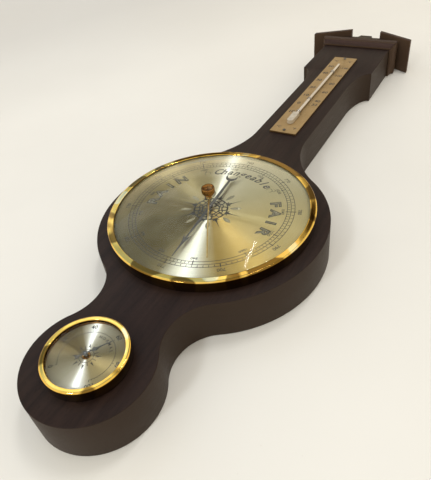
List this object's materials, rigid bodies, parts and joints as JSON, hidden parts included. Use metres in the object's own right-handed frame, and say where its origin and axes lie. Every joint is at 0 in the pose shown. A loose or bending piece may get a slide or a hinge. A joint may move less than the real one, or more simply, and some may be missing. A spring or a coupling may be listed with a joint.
{
  "type": "banjo wall barometer",
  "caption": "Banjo-shaped wooden wall barometer with domed aneroid dial, set hand, hygrometer, thermometer and broken pediment.",
  "frame": {"origin": "bottom centre of the whole object's box, on the plane of the case's back, which lies on the table or hangs against the wall", "axes": "+X to the right of the dials, +Y up the case towards the pediment, +Z out of the dials"},
  "size_m": [0.1746, 0.5706, 0.0579],
  "materials": {
    "case_wood": "satin dark red-brown stain",
    "polished_brass": "mirror polished and lacquered",
    "dial_metal": "circular brushed champagne gold",
    "hygro_dial_metal": "circular brushed silver gold",
    "plate_brass": "brushed ochre brass",
    "black_metal": "blued black",
    "movement_brass": "brushed",
    "movement_steel": "brushed",
    "tinned_steel": "tinned",
    "hanger_steel": "brass plated",
    "bimetal": "rolled strip",
    "dial_glass": "clear domed",
    "tube_glass": "clear with white back",
    "guard_enamel": "white enamel",
    "thermometer_liquid": "silver-grey liquid"
  },
  "bodies": {
    "case": {"aneroid_capsule": "tinned_steel", "bridge_pillar_1": "movement_brass", "bridge_pillar_2": "movement_brass", "bulb_guard": "guard_enamel", "can_screw_1": "movement_steel", "can_screw_2": "movement_steel", "can_screw_3": "movement_steel", "case_board": "case_wood", "cornice_front": "case_wood", "cornice_return_left": "case_wood", "cornice_return_right": "case_wood", "hairspring": "movement_steel", "hanger_plate": "hanger_steel", "hanger_screw_1": "movement_steel", "hanger_screw_2": "movement_steel", "hygro_bezel": "polished_brass", "hygro_bush": "polished_brass", "hygro_can": "tinned_steel", "hygro_coil": "bimetal", "hygro_coil_post": "movement_steel", "hygro_dial": "hygro_dial_metal", "hygro_glass": "dial_glass", "hygro_glass_ring": "polished_brass", "liquid_column": "thermometer_liquid", "main_bezel": "polished_brass", "main_can": "tinned_steel", "main_dial": "dial_metal", "main_glass": "dial_glass", "mainspring": "movement_steel", "movement_base_plate": "movement_steel", "movement_bridge": "movement_brass", "movement_plate": "movement_brass", "plate_nail_1": "black_metal", "plate_nail_2": "black_metal", "plate_pillar_1": "movement_brass", "plate_pillar_2": "movement_brass", "plate_pillar_3": "movement_brass", "rocker_bracket_1": "movement_brass", "rocker_bracket_2": "movement_brass", "roof_board_left": "case_wood", "roof_board_right": "case_wood", "set_bush": "polished_brass", "thermometer_bulb": "thermometer_liquid", "thermometer_plate": "plate_brass", "thermometer_tube": "tube_glass", "tube_clip_1": "movement_steel", "tube_clip_2": "movement_steel", "tube_clip_3": "movement_steel"},
    "hand_arbor": {"pinion_arbor": "movement_steel", "main_hand": "black_metal"},
    "sector": {"sector_gear": "movement_brass"},
    "rocker": {"rocker": "movement_steel"},
    "capsule_top": {"capsule_stud": "movement_brass"},
    "set_hand": {"set_knob": "polished_brass", "set_spindle": "polished_brass", "set_hand": "polished_brass"},
    "hygro_arbor": {"hygro_arbor": "movement_steel", "hygro_hand": "black_metal"},
    "adjuster": {"adjusting_screw": "movement_brass"},
    "liquid": {"liquid_meniscus": "thermometer_liquid"}
  },
  "joints": [
    {"name": "hand_turn", "type": "hinge", "parent": "case", "child": "hand_arbor", "pos_m": [0, -0.10225, 0.036], "axis": [0, 0, 1], "range_deg": [-310, 15], "stiffness_Nm_per_rad": 0.00002},
    {"name": "sector_swing", "type": "hinge", "parent": "case", "child": "sector", "pos_m": [-0.0324, -0.10225, 0.031], "axis": [0, 0, 1], "range_deg": [-2, 39]},
    {"name": "rocker_tilt", "type": "hinge", "parent": "case", "child": "rocker", "pos_m": [-0.01, -0.101, 0.018], "axis": [1, 0, 0], "range_deg": [-0.7, 13]},
    {"name": "capsule_lift", "type": "slide", "parent": "case", "child": "capsule_top", "axis": [0, 0, 1], "range_m": [-0.00115, 0.00006], "deforming": ["aneroid_capsule", "mainspring"]},
    {"name": "set_hand_turn", "type": "hinge", "parent": "case", "child": "set_hand", "pos_m": [0, -0.10225, 0.053], "axis": [0, 0, 1], "continuous": true},
    {"name": "hygro_hand_turn", "type": "hinge", "parent": "case", "child": "hygro_arbor", "pos_m": [0, -0.24435, 0.036], "axis": [0, 0, 1], "range_deg": [-101, 169], "stiffness_Nm_per_rad": 0.00001},
    {"name": "adjust_screw_turn", "type": "hinge", "parent": "case", "child": "adjuster", "pos_m": [-0.008, -0.07825, 0.003], "axis": [0, 0, 1], "range_deg": [-360, 360]},
    {"name": "liquid_rise", "type": "slide", "parent": "case", "child": "liquid", "axis": [0, 1, 0], "range_m": [-0.0555, 0.0515], "stiffness_N_per_m": 0.01, "deforming": ["liquid_column"]}
  ],
  "couplings": [
    {"joint": "sector_swing", "follows": "hand_turn", "ratio": -0.125},
    {"joint": "rocker_tilt", "follows": "hand_turn", "ratio": -0.041667},
    {"joint": "capsule_lift", "follows": "hand_turn", "m_per_rad": 0.00020833}
  ]
}
